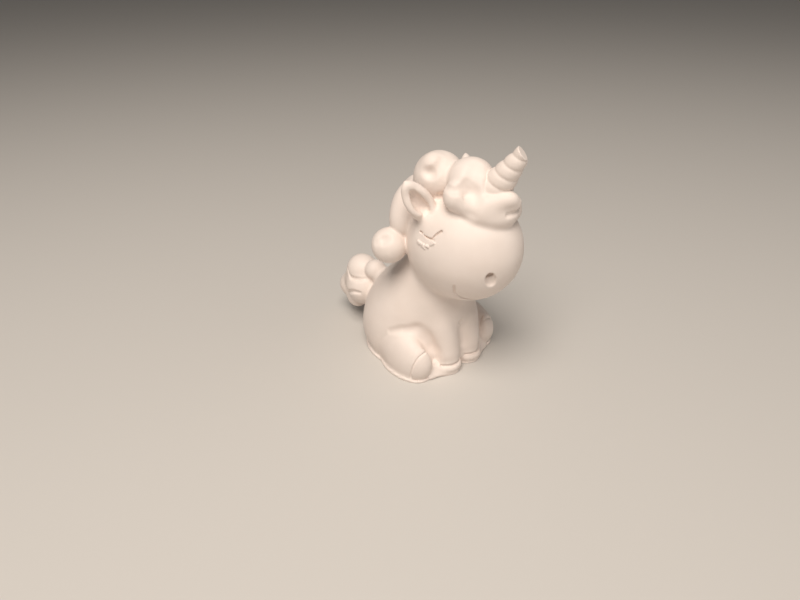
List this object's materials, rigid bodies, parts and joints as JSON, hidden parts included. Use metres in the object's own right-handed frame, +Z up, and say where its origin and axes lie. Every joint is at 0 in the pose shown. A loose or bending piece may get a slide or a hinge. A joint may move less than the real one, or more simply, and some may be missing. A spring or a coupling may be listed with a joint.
{
  "type": "unicorn figurine",
  "caption": "Small sitting unicorn ornament cast in plain white plaster, with a ridged horn, curled mane and tail, closed eyes and a flat base to stand on.",
  "frame": {"origin": "on the table, under the middle of the figure, on the flat pour base", "axes": "+Z up from the table, -Y the way the body faces, -X the figure's own right side"},
  "size_m": [0.0406, 0.0691, 0.0736],
  "materials": {
    "plaster": "matte unpainted cast plaster"
  },
  "bodies": {
    "root": {"back_lock_left": "plaster", "back_lock_right": "plaster", "body": "plaster", "crown_puff": "plaster", "ear_left": "plaster", "ear_right": "plaster", "forelock": "plaster", "forelock_tip": "plaster", "front_hoof_left": "plaster", "front_hoof_right": "plaster", "front_leg_left": "plaster", "front_leg_right": "plaster", "front_puff": "plaster", "head": "plaster", "hind_hoof_left": "plaster", "hind_hoof_right": "plaster", "hind_leg_left": "plaster", "hind_leg_right": "plaster", "horn": "plaster", "nape_curl_left": "plaster", "nape_curl_right": "plaster", "pour_base": "plaster", "rear_lock": "plaster", "tail_back": "plaster", "tail_curl": "plaster", "tail_root": "plaster", "tail_tip": "plaster", "tail_top": "plaster", "temple_curl": "plaster"}
  },
  "joints": []
}
